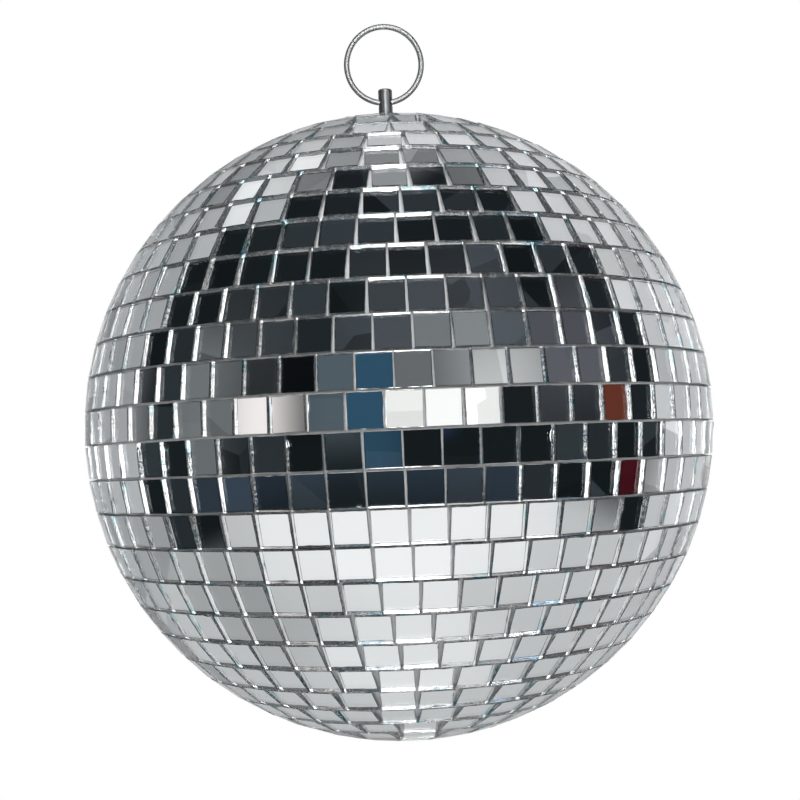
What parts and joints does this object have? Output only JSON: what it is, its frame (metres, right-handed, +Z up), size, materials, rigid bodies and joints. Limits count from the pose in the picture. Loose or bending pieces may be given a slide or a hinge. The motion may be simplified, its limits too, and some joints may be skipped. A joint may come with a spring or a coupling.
{
  "type": "mirror ball",
  "caption": "Ball covered in rows of small square glass mirrors, with a top pin and a wire ring to hang it by.",
  "frame": {"origin": "the point the ball hangs from: the inner top of the hanging ring", "axes": "+Z up through the ball's poles, the ring lies in the XZ plane, the front faces -Y"},
  "size_m": [0.2, 0.2, 0.2314],
  "materials": {
    "mirror_tiles": "silvered float glass, cut edges",
    "ribbon": "woven white ribbon, glued",
    "core": "moulded, matt",
    "pin": "turned and plated",
    "ring": "plated wire",
    "fasteners": "zinc plated"
  },
  "bodies": {
    "ring": {"hanging_ring": "ring"},
    "ball": {"mirror_row_01": "mirror_tiles", "mirror_row_02": "mirror_tiles", "mirror_row_03": "mirror_tiles", "mirror_row_04": "mirror_tiles", "mirror_row_05": "mirror_tiles", "mirror_row_06": "mirror_tiles", "mirror_row_07": "mirror_tiles", "mirror_row_08": "mirror_tiles", "mirror_row_09": "mirror_tiles", "mirror_row_10": "mirror_tiles", "mirror_row_11": "mirror_tiles", "mirror_row_12": "mirror_tiles", "mirror_row_13": "mirror_tiles", "mirror_row_14": "mirror_tiles", "mirror_row_15": "mirror_tiles", "mirror_row_16": "mirror_tiles", "mirror_row_17": "mirror_tiles", "mirror_row_18": "mirror_tiles", "mirror_row_19": "mirror_tiles", "mirror_row_20": "mirror_tiles", "mirror_row_21": "mirror_tiles", "mirror_row_22": "mirror_tiles", "mirror_row_23": "mirror_tiles", "mirror_row_24": "mirror_tiles", "mirror_row_25": "mirror_tiles", "mirror_row_26": "mirror_tiles", "mirror_row_27": "mirror_tiles", "mirror_row_28": "mirror_tiles", "mirror_row_29": "mirror_tiles", "bottom_mirror": "mirror_tiles", "backing_ribbons_upper": "ribbon", "backing_ribbons_lower": "ribbon", "upper_shell": "core", "lower_shell": "core", "hanger_pin": "pin", "pin_washer": "fasteners", "spring_washer": "fasteners", "pin_nut": "fasteners"}
  },
  "joints": [
    {"name": "ball_swing", "type": "hinge", "parent": "ring", "child": "ball", "pos_m": [0, 0, -0.024], "axis": [1, 0, 0], "range_deg": [-107, 107]}
  ]
}
